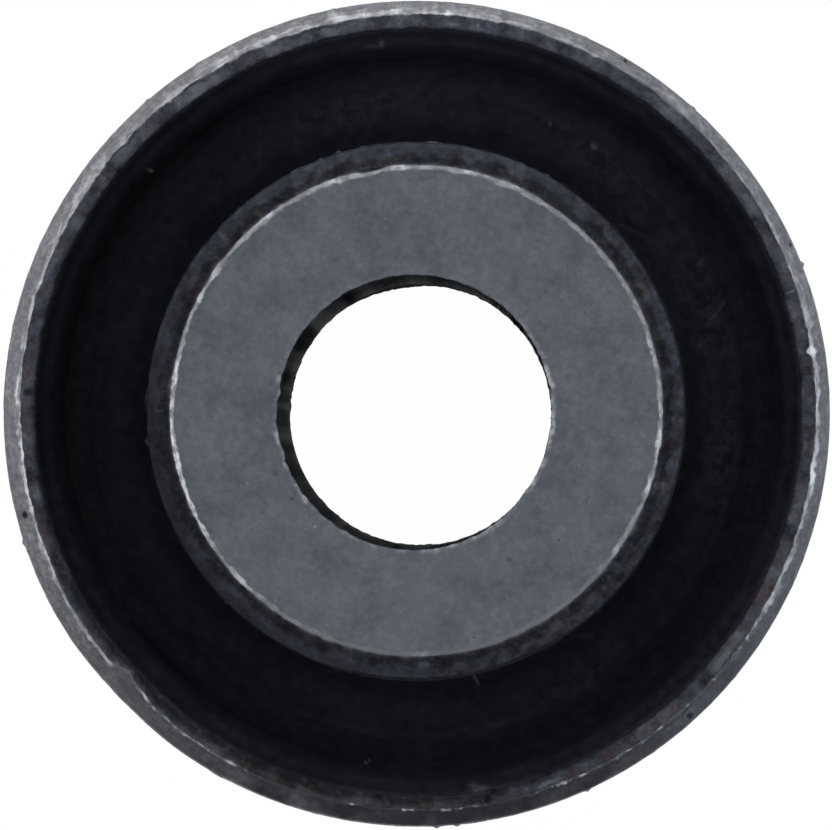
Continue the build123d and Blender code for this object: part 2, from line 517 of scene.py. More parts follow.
outerSleeve = {
    "segments": 1440,
    "sideRows": 4,
    "ends": [(3, 0), (43, 70)],  # noise seed and turn of the marks, at the top and at the lower end
    "wall": 1.25,
    "leadWidth": 0.66,
    "leadHeight": 0.9,
    "insideBreak": 0.1,
    "leadOffCentre": (0.067, 0.104),  # the lead was turned a little off centre
    "boreOffCentre": (0.071, 0.063),  # and the tube's wall is not quite even
    "boreTrim": 0.074,  # rubber creeps this far over the inside edge
    "boreWander": 0.042,
    "creepRadius": 17,
    # where the rubber creeps further in, or less: degrees, along, width
    "boreCreep": [
        (0, 4, 0.045), (50, 3.5, -0.02), (118, 3, 0.035), (157, 2, -0.03), (225, 2.2, 0.03),
        (278, 4.5, -0.04), (318, 2.5, 0.02),
    ],
    "crestWander": 0.035,
    "crestGrain": 0.014,
    "outlineWander": 0.022,
    "outlineTrim": 0.01,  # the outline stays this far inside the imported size
    "wallTrim": 0.002,  # and the wall below it this far
    "flatReach": 7.0,  # how far below the lead the pressed flats have faded out
    "wornWidth": 0.13,
    # stretches of the view where the worn edge is more ragged, wider (in mm) and narrower (as a share),
    # where it glitters with painted highlights, where primer darkens it as painted shade at the bottom
    # and where the lead is greyer as painted shade on the lower right: from and to in degrees,
    # how softly they end, how much
    "crestRagged": [(285, 345, 10, 0.022)],
    "wornWider": [(75, 140, 25, 0.08)],
    "wornNarrower": [(242, 275, 8, 0.35), (290, 322, 8, 0.25)],
    "paintedGlitter": [(235, 342, 12, 0.3)],
    "primedEdgeShade": [(240, 283, 10, 1)],
    "greyLead": [(310, 342, 14, 0.42)],
    # how bright a painted highlight the worn edge gets round the view, and how dark the painted shade on
    # the lead is, darkest at the bottom: degrees, share
    "paintedEdgeShine": [
        (0, 0.45), (25, 0.36), (50, 0.18), (70, 0.28), (90, 0.37), (135, 0.36), (160, 0.48), (185, 0.8),
        (205, 0.5), (216, 0.3), (224, 0.24), (232, 0.12), (240, 0.17), (250, 0.08), (270, 0.1),
        (285, 0.12), (304, 0.13), (318, 0.09), (325, 0.11), (331, 0.21), (336, 0.25), (342, 0.42),
    ],
    "leadShadeByAngle": [
        (0, 0.34), (45, 0.27), (90, 0.05), (135, 0.14), (180, 0.18), (205, 0.4), (225, 0.68),
        (248, 0.9), (270, 1), (290, 0.97), (305, 0.9), (325, 0.74), (342, 0.4),
    ],
    # painted shade: how much darker the flat end is beside the rubber, and all over, most on the lower
    # left and bottom
    "bandShade": [
        (0, 0.04), (45, 0), (90, 0.03), (135, 0.04), (180, 0.22), (225, 0.48), (270, 0.42), (300, 0.08),
        (330, -0.05),
    ],
    "shadeByAngle": [
        (0, 0), (90, -0.05), (135, -0.07), (180, -0.02), (225, 0.12), (270, 0.14), (300, -0.02),
    ],
    "bandRust": [
        (0, 0.5), (45, 0.35), (90, 0.1), (135, 0.3), (180, 1), (225, 0.85), (270, 1), (300, 1),
        (330, 1),
    ],
    "besideWidth": 0.22,  # how wide the dark line beside the rubber is
    "besideWider": [(10, 65, 20, 0.05)],
    # places where the tube is pressed flat: degrees, along, depth
    "flats": [(224, 2.6, 0.095), (240, 4, 0.025), (258, 4, 0.02), (50, 6, 0.035), (88, 4, 0.015)],
    # places where the worn edge swells: degrees, along, growth
    "beads": [(9, 0.16, 1.3), (329, 1.2, 0.2), (336, 0.8, 0.1), (350.5, 0.3, 0.5)],
    # painted highlights on the worn edge: degrees, along, strength
    "paintedGlints": [
        (85.3, 0.6, 0.45), (97.5, 0.22, 0.35), (93, 0.2, 0.3), (101, 0.2, 0.2), (110.4, 0.3, 0.2),
        (119, 0.25, 0.3), (9, 0.18, 0.7), (351.2, 0.55, 0.4), (2.1, 0.4, 0.3), (192.3, 0.7, 0.25),
        (185.4, 0.2, 0.4), (177.6, 0.5, 0.4), (173.6, 0.15, 0.4), (160.5, 0.3, 0.3), (242.4, 0.2, 0.25),
        (269, 0.3, 0.15), (214, 0.3, 0.2), (208.5, 0.25, 0.2), (218.5, 0.2, 0.2), (222.3, 0.7, -0.3),
        (226.3, 0.25, 0.26), (228.3, 0.15, 0.22), (230.6, 0.25, 0.18), (232.4, 0.12, 0.14),
        (234.3, 0.3, 0.15), (236.9, 0.25, 0.17), (239, 0.15, 0.12), (260.6, 0.35, 0.24),
        (268.3, 0.25, 0.14), (270.5, 0.15, 0.12), (274.1, 0.2, 0.12), (278.2, 0.3, 0.14),
        (288, 0.2, 0.1), (291.7, 0.12, 0.22), (294.7, 0.2, 0.24), (297.4, 0.2, 0.1), (300.7, 0.5, 0.14),
        (304.6, 0.15, 0.12), (307, 0.2, 0.1), (311.5, 0.2, 0.09), (315.8, 0.2, 0.12),
        (318.3, 0.14, 0.26), (321.2, 0.3, 0.08), (324.3, 0.22, 0.14), (325.9, 0.12, 0.24),
        (328.3, 0.35, 0.16), (331.8, 0.35, 0.2), (334.2, 0.3, 0.14), (337.2, 0.35, 0.12),
    ],
    # burrs on the outline: degrees, along, height
    "burrs": [
        (21.2, 0.1, 0.12), (198.2, 0.12, 0.08), (241.3, 0.3, 0.06), (272.8, 0.12, 0.09),
        (275.6, 0.11, 0.09), (294.4, 0.12, 0.08), (47.8, 0.12, 0.05), (130.7, 0.1, 0.05),
    ],
    # places where the corner was knocked in: degrees, along, depth
    "knocks": [
        (140, 5, -0.05), (238, 4, 0.01), (45, 2.5, 0.035), (9, 0.2, 0.14), (6.2, 0.2, -0.04),
        (352, 0.3, 0.05), (137, 0.35, 0.06), (186, 0.25, 0.05), (163, 0.3, -0.08), (64, 0.3, 0.05),
        (221.9, 0.5, 0.3), (225, 0.45, 0.12), (177.5, 0.2, -0.05),
    ],
    # lighter and darker marks on the flat end: degrees, radius, along, across, strength
    "bandMarks": [
        (84.7, 17, 0.35, 0.12, 0.45), (81, 17.1, 0.08, 0.35, 0.35), (18, 17.1, 0.08, 0.35, 0.45),
        (192.2, 16.9, 0.12, 0.2, 0.5), (176.8, 16.95, 0.14, 0.25, -0.6), (279.5, 17.1, 0.5, 0.35, -0.5),
        (290, 17.1, 0.8, 0.25, 0.25), (102.6, 17.1, 0.25, 0.3, 0.25), (263.5, 17, 0.5, 0.2, 0.2),
        (6, 17.25, 0.15, 0.16, -0.6), (179.5, 17.1, 0.4, 0.2, 0.15), (203, 17.1, 0.8, 0.4, -0.25),
        (124, 16.9, 0.3, 0.3, 0.3), (355.4, 16.95, 0.3, 0.06, 0.5), (128.3, 17.2, 0.1, 0.08, -0.6),
        (46.2, 17.3, 0.12, 0.1, -0.5), (320.6, 17.1, 0.6, 0.3, 0.25),
    ],
    # dark pits in the lead: degrees, radius, along, across, strength
    "pits": [
        (194.5, 17.62, 0.16, 0.12, 1), (312.1, 17.73, 0.16, 0.14, 1), (59.4, 17.85, 0.1, 0.08, 0.7),
        (54.7, 17.5, 0.16, 0.12, 0.7), (128.5, 17.7, 0.07, 0.06, 0.9), (24.3, 17.85, 0.12, 0.07, 0.8),
    ],
}


def boreLine(angles, sleeve, radius, seed, turn):
    # where the steel ends and the rubber starts round one end
    placed = angles - math.radians(turn)
    line = radius - sleeve["wall"] - sleeve["boreTrim"] + alongOffset(angles, sleeve["boreOffCentre"])
    line += sleeve["boreWander"] * around(angles, radius, 0.5, seed + 2, 4)
    line -= edgeSpots(placed, radius, sleeve["flats"])
    return line - edgeSpots(placed, sleeve["creepRadius"], sleeve["boreCreep"])


def sleeveEnd(angles, sleeve, radius, seed, turn):
    # the section of one end, outward; turn moves the marks round for the other end
    placed = angles - math.radians(turn)
    flat = edgeSpots(placed, radius, sleeve["flats"])
    inside = boreLine(angles, sleeve, radius, seed, turn)
    crest = radius - sleeve["leadWidth"] + alongOffset(angles, sleeve["leadOffCentre"]) - flat
    crest += sleeve["crestWander"] * around(angles, radius, 1.1, seed, 5)
    ragged = sleeve["crestGrain"] + sectors(placed, sleeve["crestRagged"])
    crest += ragged * around(angles, radius, 0.30, seed + 13, 3)
    crest -= edgeSpots(placed, radius, sleeve["knocks"])
    wide = sleeve["wornWidth"] + sectors(placed, sleeve["wornWider"])
    uneven = 0.7 * around(angles, radius, 0.8, seed + 1, 3)
    uneven += 0.4 * around(angles, radius, 0.25, seed + 15, 2)
    wide = wide * np.clip(1 + uneven, 0.45, 1.7) * (1 + edgeSpots(placed, radius, sleeve["beads"]))
    wide = wide * (1 - sectors(placed, sleeve["wornNarrower"]))
    # painted highlights on the worn edge; where they are weak, less of the edge is worn bare
    shine = byAngle(placed, sleeve["paintedEdgeShine"])
    paintedGlints = edgeSpots(placed, radius, sleeve["paintedGlints"])
    glitterNoise = np.clip(around(angles, radius, 0.30, seed + 16, 3) - 0.08, 0, 1)
    paintedGlints += glitterNoise * sectors(placed, sleeve["paintedGlitter"])
    kept = 0.05 + 0.95 * smooth(shine + 0.6 * paintedGlints, 0, 0.4) + 0.25 * glitterNoise
    lost = 1 - kept
    shine = {"shine": shine + paintedGlints}
    # painted shade on the lead, darkest at the bottom
    paintedLeadShade = byAngle(placed, sleeve["leadShadeByAngle"])
    burr = edgeSpots(placed, radius, sleeve["burrs"])
    section = []

    def add(r, depth, **masks):
        section.append((r, depth, masks))

    # painted shade on the flat end, darker on the lower left
    besideShade = byAngle(placed, sleeve["bandShade"])
    overall = byAngle(placed, sleeve["shadeByAngle"])
    rusty = byAngle(placed, sleeve["bandRust"])
    soft = sleeve["besideWidth"] + sectors(placed, sleeve["besideWider"])
    soft += 0.15 * around(angles, radius, 1.0, seed + 9, 4)
    start = inside + sleeve["insideBreak"]
    add(inside, 1.5, coat=1.0)
    add(inside, 0.35, coat=0.9)
    add(inside, sleeve["insideBreak"], coat=0.9)
    add(inside + 0.05, 0.04, coat=0.85, rust=0.4)
    for share in np.linspace(0, 1, 9)[:-1]:
        r = start + (crest - wide - start) * share
        uneven = 0.012 * over(angles, r, 0, 0.8, seed + 4, 4)
        dim = 0.54 + 0.18 * over(angles, r, 0, 2.0, seed + 5, 3) + overall + besideShade * (1 - share)
        dim += 0.20 * (1 - smooth(r - inside, 0.03, soft))
        add(r, 0.012 + uneven, coat=dim - spots(placed, r, sleeve["bandMarks"]), rust=rusty)
    shine["rust"] = rusty
    # primer over the edge, painted shade at the bottom
    heavy = lost * sectors(placed, sleeve["primedEdgeShade"])
    add(crest - wide * 0.85, 0.006, coat=0.55 + 0.22 * heavy, worn=0.16 * kept, **shine)
    add(crest - wide * 0.40, 0.010, coat=0.45 + 0.32 * heavy, worn=0.36 * kept, **shine)
    shine["paintedLeadShade"] = paintedLeadShade
    coat = 0.10 + 0.2 * lost + 0.25 * heavy
    add(crest - wide * 0.05, 0.025, coat=coat, worn=0.78 * kept, turned=0.5 * lost, **shine)
    shine["rust"] = 0
    add(crest + wide * 0.4, 0.060, coat=0.08 * lost, worn=0.92 * kept, turned=0.6 + 0.4 * lost, **shine)
    add(crest + wide * 0.9, 0.13, worn=0.52 * kept, turned=1.0, **shine)
    add(crest + wide * 1.5, 0.22, worn=0.18 * kept, turned=1.0, **shine)
    # the lead made greyer, painted shade on the lower right
    bright = 1 - sectors(placed, sleeve["greyLead"])
    start = crest + wide * 1.5 + 0.04
    for share in np.linspace(0, 1, 7):
        r = start + (radius - flat - start) * share
        depth = 0.25 + (sleeve["leadHeight"] - 0.25) * share
        uneven = 0.014 * over(angles, r, depth, 0.7, seed + 6, 4)
        pit = spots(placed, r, sleeve["pits"])
        cloud = over(angles, r, depth, 1.5, seed + 7, 4)
        masks = {"turned": bright - pit, "coat": 0.05 + 0.15 * cloud + pit}
        shine["paintedLeadShade"] = paintedLeadShade * (1 + 0.15 * cloud)
        masks["worn"] = 0.06 * (1 - share) * kept
        if share < 1:
            add(r - 0.3 * uneven, depth + uneven + 0.10 * pit, **masks, **shine)
        else:
            wander = around(angles, radius, 0.6, seed + 8, 4)
            outline = radius - flat - sleeve["outlineTrim"] + sleeve["outlineWander"] * wander
            add(outline + burr, depth, **masks)
    add(outline + 0.6 * burr, sleeve["leadHeight"] + 0.10, turned=0.8, coat=0.15)
    for depth, share in ((0.35, 1), (2.0, 1), (4.0, 0.6), (sleeve["flatReach"], 0)):
        add(radius - sleeve["wallTrim"] - share * flat, sleeve["leadHeight"] + depth, turned=0.7)
    return section


def makeOuterSleeve(sleeve):
    radius, low, high = nodeSize("outer_sleeve")
    rows = Rows(sleeve["segments"], steelMasks)
    topEnd, lowEnd = sleeve["ends"]
    rows.addEnd(sleeveEnd(rows.angles, sleeve, radius, *topEnd), 1, high)
    reach = sleeve["leadHeight"] + sleeve["flatReach"]
    for height in np.linspace(high - reach, low + reach, sleeve["sideRows"] + 2)[1:-1]:
        rows.add(radius - sleeve["wallTrim"], height, turned=0.7)
    rows.addEnd(sleeveEnd(rows.angles, sleeve, radius, *lowEnd), -1, low)
    return rows.skin("pressSleeve")


innerSleeve = {
    "segments": 880,
    "ends": [(71, 0), (101, 200)],  # noise seed and turn of the marks, at the top and at the lower end
    "faceRows": [31, 8],  # fine rows over the top face, fewer below
    "sideRows": 4,
    "boreRows": 5,
    "sideReach": 6,  # how far from each end the rows of the outside and of the bore begin
    "boreReach": 9,
    "chamferWidth": 1.12,
    "chamferHeight": 0.6,
    "boreRadius": 6.0,
    "rimRadius": 10.6,  # where marks on the rim of the clamping face are measured
    "offCentre": (0.005, 0.09),  # the sleeve sits a little off the middle of the rubber
    "boreOffCentre": (-0.066, -0.05),  # and its bore a little off its own middle
    "rimOffCentre": (0.012, 0.03),
    "endTrim": 0.088,  # the corner in the rubber shows this much smaller
    "rimWander": 0.02,
    "mouthWander": 0.034,
    "cornerWander": 0.032,
    "wornWidth": 0.145,
    "mouthTight": [0.06, 0.01],  # how far the edge of the bore is turned in, at the top and lower end
    "boreScale": 0.76,  # how thick the scale in the bore is
    "boreEnds": [0.07, -0.07],  # darker near the top and paler far down
    # stretches of the view where the corner stands out, where the rim is narrower (as a share),
    # where the corner is paler as painted light on the upper side, where primer and brown are patchy
    # and where the corner is plain: from and to in degrees, how softly they end, how much
    "cornerOut": [(40, 195, 20, 0.035), (262, 298, 14, -0.08)],
    "wornNarrower": [(155, 215, 15, 0.15)],
    "paintedLightCorner": [(-15, 195, 20, 0.1)],
    "patchyPrimer": [(-65, 35, 25, 1)],
    "plainCorner": [(-160, 35, 20, 1)],
    # how bright a painted highlight the rim of the clamping face gets round the view: degrees, share
    "paintedRimShine": [
        (0, 0.28), (25, 0.21), (50, 0.14), (90, 0.21), (100, 0.23), (113, 0.18), (124, 0.3), (133, 0.2),
        (142, 0.31), (160, 0.69), (190, 0.8), (203, 0.66), (220, 0.2), (245, 0.06), (265, 0), (290, 0),
        (320, 0.08), (345, 0.24),
    ],
    # how much darker the outer part of the corner is, painted shade most on the left and lower left, and
    # how dark the primer is beside the rim: degrees, extra
    "shadeByAngle": [
        (0, 0.2), (45, 0.18), (90, -0.04), (135, 0.14), (180, 0.4), (225, 0.34), (270, 0.16),
        (315, 0.28),
    ],
    "rimDark": [
        (0, -0.03), (45, -0.08), (90, -0.04), (135, 0.02), (180, 0.02), (225, -0.06), (270, 0),
        (315, 0.02),
    ],
    # how bright a painted highlight the broken edge of the bore gets: degrees, share
    "paintedMouthShine": [
        (0, 0.3), (25, 0.22), (50, 0.06), (90, 0.03), (130, 0.05), (160, 0.06), (182, 0.26), (198, 0.1),
        (216, 0.2), (235, 0.05), (262, 0.08), (285, 0.14), (310, 0.12), (335, 0.22),
    ],
    # painted highlights on the rim: degrees, along, strength
    "paintedGlints": [
        (128, 0.5, 0.25), (109, 0.3, 0.25), (93.5, 0.3, 0.3), (78, 0.2, 0.2), (66, 0.3, 0.15),
        (201, 0.3, 0.2), (187, 0.5, 0.2), (165.5, 0.3, 0.25), (15.5, 0.3, 0.35), (0, 0.3, 0.4),
        (355, 0.5, 0.35), (350, 0.25, 0.4), (342.5, 0.3, 0.35), (326, 0.3, 0.2), (271, 0.4, 0.2),
        (224, 0.5, 0.25),
    ],
    # chips on the rim: degrees, along, depth
    "chips": [
        (101, 0.55, 0.12), (163, 0.3, 0.02), (50, 3, 0.045), (0, 2, -0.03), (190, 3, -0.035),
        (232, 0.3, 0.03),
    ],
    # pale crumbs of rubber skin on the corner: degrees, along, height
    "crumbs": [
        (106.6, 0.1, 0.1), (115.5, 0.35, 0.03), (110.4, 0.15, 0.04), (101.3, 0.1, 0.05),
        (86, 0.3, 0.04), (67, 0.2, 0.03), (61, 0.1, 0.08), (210.9, 0.07, 0.08), (202.4, 0.08, 0.03),
        (185.9, 0.17, 0.13), (176.6, 0.28, 0.09), (171, 0.2, 0.03), (282.2, 0.07, 0.12),
        (248, 0.1, 0.05), (224.8, 0.1, 0.08), (355.7, 0.1, 0.03), (18.7, 0.15, 0.03),
    ],
    # paler places down the bore: degrees, along, strength
    "borePatches": [
        (138, 0.35, 0.35), (176, 0.2, 0.22), (189, 0.3, 0.15), (199, 0.35, 0.18), (112, 0.3, 0.1),
        (150, 0.4, -0.15), (165, 0.4, -0.15), (100, 1.8, -0.07), (222, 0.9, 0.09), (260, 0.9, 0.05),
    ],
    # steps in the edge of the bore, at the top and at the lower end: degrees, along, growth
    "mouthSteps": [
        [(337, 3.4, -0.055), (147.6, 0.22, 0.03), (171.5, 0.22, -0.1), (183.5, 0.14, 0.05),
         (196, 0.2, -0.07), (120, 0.25, 0.04), (215, 0.25, 0.03), (236, 0.2, 0.03), (11, 0.12, 0.03),
         (340, 0.15, 0.02)],
        [(101, 2, -0.12), (200, 1.2, 0.04), (268, 0.8, -0.03), (176, 0.15, -0.02), (337, 2.4, 0.03)],
    ],
    # lighter and darker marks on the chamfer: degrees, radius, along, across, strength
    "bandMarks": [
        (137.5, 11.35, 0.09, 0.3, 0.4), (101, 10.75, 0.45, 0.12, 0.55), (179.4, 11.07, 0.1, 0.2, 0.4),
        (217, 10.8, 0.3, 0.1, 0.3), (258.6, 10.9, 0.06, 0.06, 0.7), (115, 10.8, 0.3, 0.1, 0.3),
        (175.5, 11.3, 0.3, 0.3, 0.15), (272, 10.85, 0.5, 0.1, 0.25), (345, 10.8, 1.2, 0.08, 0.25),
        (65, 10.8, 0.4, 0.1, 0.25),
    ],
    # dark dents on the clamping face, and pale places on it, in the same order
    "dents": [
        (318.5, 8.26, 0.12, 0.1, 0.9), (168.5, 10.27, 0.12, 0.16, 0.8), (202.6, 9.97, 0.2, 0.18, 0.8),
        (206.7, 10.25, 0.1, 0.13, 0.5), (193.3, 6.75, 0.09, 0.12, 0.6), (284.6, 9.99, 0.16, 0.14, 0.7),
        (8.2, 9.78, 0.14, 0.1, 0.6), (6.2, 10.1, 0.08, 0.14, 0.5), (358, 9.52, 0.13, 0.11, 0.5),
        (330.3, 6.5, 0.11, 0.11, 0.6), (214.7, 6.5, 0.22, 0.18, 0.9), (251.5, 7.09, 0.18, 0.12, 0.6),
        (261.4, 8.64, 0.2, 0.13, 0.5), (257, 9.61, 0.14, 0.16, 0.6), (242.6, 8.64, 0.1, 0.1, 0.6),
        (245.9, 8.88, 0.12, 0.1, 0.5), (44.7, 9.24, 0.14, 0.12, 0.5), (121.7, 6.5, 0.14, 0.12, 0.6),
        (125.8, 6.94, 0.1, 0.1, 0.4), (159.6, 9.73, 0.35, 0.25, 0.3), (162.8, 10.2, 0.15, 0.14, 0.4),
        (338, 9.2, 0.09, 0.09, 0.3), (70, 9.4, 0.08, 0.08, 0.3), (300, 7.4, 0.16, 0.14, 0.4),
    ],
    "paleMarks": [
        (228.4, 6.55, 0.08, 0.08, 1), (45.9, 10.05, 0.09, 0.08, 0.8), (123.1, 9.88, 0.2, 0.16, 0.5),
        (103.2, 9.43, 0.13, 0.11, 0.4), (87.4, 8.71, 0.07, 0.55, 0.35), (85.6, 8.15, 0.07, 0.4, 0.35),
        (78.6, 7.86, 0.3, 0.09, 0.3), (49.4, 8.84, 0.16, 0.1, 0.4), (39.7, 8.76, 0.14, 0.12, 0.4),
        (29.8, 9.86, 0.08, 0.22, 0.4), (105.8, 10.2, 0.1, 0.2, 0.5), (92.7, 6.5, 0.25, 0.08, 0.3),
        (308.4, 7.65, 0.06, 0.35, 0.4), (217, 6.95, 0.25, 0.15, 0.5), (181, 10.35, 0.3, 0.1, 0.4),
        (63, 7.2, 0.12, 0.1, 0.3), (15, 8.6, 0.12, 0.12, 0.3), (285, 8.2, 0.2, 0.12, 0.25),
    ],
}


def boreCoat(angles, sleeve):
    # the scale in the bore, uneven round it and drawn out along it
    dark = sleeve["boreScale"] + 0.22 * around(angles, sleeve["boreRadius"], 1.0, 41, 4)
    return dark - edgeSpots(angles, sleeve["boreRadius"], sleeve["borePatches"])


def innerEnd(angles, sleeve, radius, end):
    # the section of one end, outward from the bore; end is 0 at the top and 1 at the lower end
    seed, turn = sleeve["ends"][end]
    placed = angles - math.radians(turn)
    centre = alongOffset(angles, sleeve["offCentre"])
    boreRadius = sleeve["boreRadius"]
    bore = boreRadius + centre + alongOffset(angles, sleeve["boreOffCentre"])
    mouth = bore - sleeve["mouthTight"][end]
    mouth += sleeve["mouthWander"] * around(angles, boreRadius, 0.32, seed, 4)
    mouth += edgeSpots(angles, boreRadius, sleeve["mouthSteps"][end])
    outside = radius + centre
    corner = outside - sleeve["endTrim"]
    corner += sleeve["cornerWander"] * around(angles, radius, 0.4, seed + 12, 4)
    corner += sectors(placed, sleeve["cornerOut"])
    rim = outside - sleeve["chamferWidth"] + alongOffset(angles, sleeve["rimOffCentre"])
    rim += sleeve["rimWander"] * around(angles, radius, 0.9, seed + 1, 5)
    rim -= edgeSpots(placed, sleeve["rimRadius"], sleeve["chips"])
    wide = sleeve["wornWidth"] * np.clip(1 + 0.5 * around(angles, radius, 0.7, seed + 2, 3), 0.5, 1.5)
    wide = wide * (1 - sectors(placed, sleeve["wornNarrower"]))
    # painted highlights on the rim
    paintedGlints = edgeSpots(placed, sleeve["rimRadius"], sleeve["paintedGlints"])
    shine = {"shine": byAngle(placed, sleeve["paintedRimShine"]) + paintedGlints}
    section = []

    def add(r, depth, **masks):
        section.append((r, depth, masks))

    dark = boreCoat(angles, sleeve) + sleeve["boreEnds"][end]
    for depth, share in ((6.0, 0), (3.0, 0.3), (1.4, 0.8), (0.7, 1), (0.35, 1)):
        share = share * (0.4 if end else 1)
        add(bore, depth, coat=dark + (1 - dark) * share, rust=0.4)
    # painted highlight on the broken edge of the bore, which also sets how much of it is worn bare
    bright = 1 + 1.2 * around(angles, boreRadius, 0.4, seed + 14, 3)
    bright = byAngle(placed, sleeve["paintedMouthShine"]) * bright
    wornAndLit = np.clip(0.26 + 1.2 * bright, 0, 0.75)
    add(mouth, 0.12, coat=1.0, rust=0.4)
    add(mouth + 0.01, 0.02, coat=0.45 * (1 - bright), worn=wornAndLit, shine=bright)
    add(mouth + 0.05, 0.003, worn=0.15 + wornAndLit, shine=bright)
    add(mouth + 0.14, 0.0, worn=0.18 + wornAndLit * 0.8, shine=0.7 * bright)
    add(mouth + 0.24, 0.003, worn=0.30 + 0.3 * bright, shine=0.12 + 0.3 * bright)
    start, stop = mouth + 0.32, rim - wide * 2.7
    for share in np.linspace(0, 1, sleeve["faceRows"][end]):
        r = start + (stop - start) * share
        dent = spots(placed, r, sleeve["dents"])
        pale = spots(placed, r, sleeve["paleMarks"])
        uneven = 0.004 * over(angles, r, 0, 1.5, seed + 7, 3)
        add(r, 0.005 + uneven + 0.03 * dent, coat=0.5 * dent, worn=0.75 * pale, shine=0.25 * pale)
    add(rim - wide * 2.2, 0.005, worn=0.08, **shine)
    add(rim - wide * 1.5, 0.006, worn=0.22, **shine)
    add(rim - wide * 1.0, 0.010, worn=0.50, **shine)
    add(rim - wide * 0.5, 0.020, worn=0.86, **shine)
    add(rim - wide * 0.05, 0.04, worn=0.86, **shine)
    add(rim + wide * 0.35, 0.07, worn=0.46, coat=0.3, **shine)
    add(rim + wide * 0.75, 0.12, worn=0.12, coat=0.7, rust=0.5, **shine)
    add(rim + wide * 1.2, 0.17, coat=0.92, rust=0.8)
    start = rim + wide * 1.2 + 0.05
    # painted shade on the corner, by angle
    darker = byAngle(placed, sleeve["shadeByAngle"])
    patchy = sectors(placed, sleeve["patchyPrimer"])
    for share in np.linspace(0, 1, 9):
        r = start + (corner - start) * share
        depth = 0.20 + (sleeve["chamferHeight"] - 0.20) * share
        uneven = 0.012 * over(angles, r, depth, 0.6, seed + 9, 4)
        coat = 0.99 - 0.25 * smooth(share + 0.30 * over(angles, r, depth, 0.9, seed + 8, 4), 0.24, 0.44)
        coat = coat + (darker - 0.08) * share - spots(placed, r, sleeve["bandMarks"])
        coat = coat + byAngle(placed, sleeve["rimDark"]) * (1 - share)
        # paler near the outer edge on the upper side, painted light
        coat = coat - (0.05 + sectors(placed, sleeve["paintedLightCorner"])) * smooth(share, 0.65, 1.0)
        coat = coat + 0.18 * patchy * over(angles, r, depth, 0.45, seed + 15, 3)
        add(r, depth + uneven, coat=coat, rust=0.9 * (1 - smooth(share, 0.1, 0.5) * (1 - 0.7 * patchy)))
    edge = smooth(around(angles, radius, 0.45, seed + 10, 4), -0.05, 0.4)
    crumb = edgeSpots(placed, radius, sleeve["crumbs"])
    plain = sectors(placed, sleeve["plainCorner"])
    edge = edge * (1 - 0.8 * plain)
    fringe = {"coat": 0.60 + 0.12 * plain - 0.3 * edge + darker, "worn": 0.12 * edge + 3 * crumb}
    add(corner - 0.03, sleeve["chamferHeight"] - 0.03 - 0.4 * crumb, **fringe)
    add(corner + 0.01 + crumb, sleeve["chamferHeight"] + 0.03, **fringe)
    add(corner + 0.01, sleeve["chamferHeight"] + 0.25, coat=0.9)
    add(corner + 0.01, sleeve["chamferHeight"] + 1.6, coat=1.0)
    add(outside, sleeve["chamferHeight"] + 3.0, coat=0.9)
    return section


def makeInnerSleeve(sleeve):
    radius, low, high = nodeSize("inner_sleeve")
    rows = Rows(sleeve["segments"], steelMasks)
    rows.addEnd(innerEnd(rows.angles, sleeve, radius, 0), 1, high)
    centre = alongOffset(rows.angles, sleeve["offCentre"])
    reach = sleeve["sideReach"]
    for height in np.linspace(high - reach, low + reach, sleeve["sideRows"]):
        rows.add(radius + centre, height, coat=0.4)
    rows.addEnd(innerEnd(rows.angles, sleeve, radius, 1), -1, low)
    bore = sleeve["boreRadius"] + centre + alongOffset(rows.angles, sleeve["boreOffCentre"])
    reach = sleeve["boreReach"]
    for height in np.linspace(low + reach, high - reach, sleeve["boreRows"]):
        fade = sleeve["boreEnds"][0] * (2 * (height - low) / (high - low) - 1)
        rows.add(bore, height, coat=boreCoat(rows.angles, sleeve) + fade, rust=0.4)
    return rows.skin("boltSleeve")


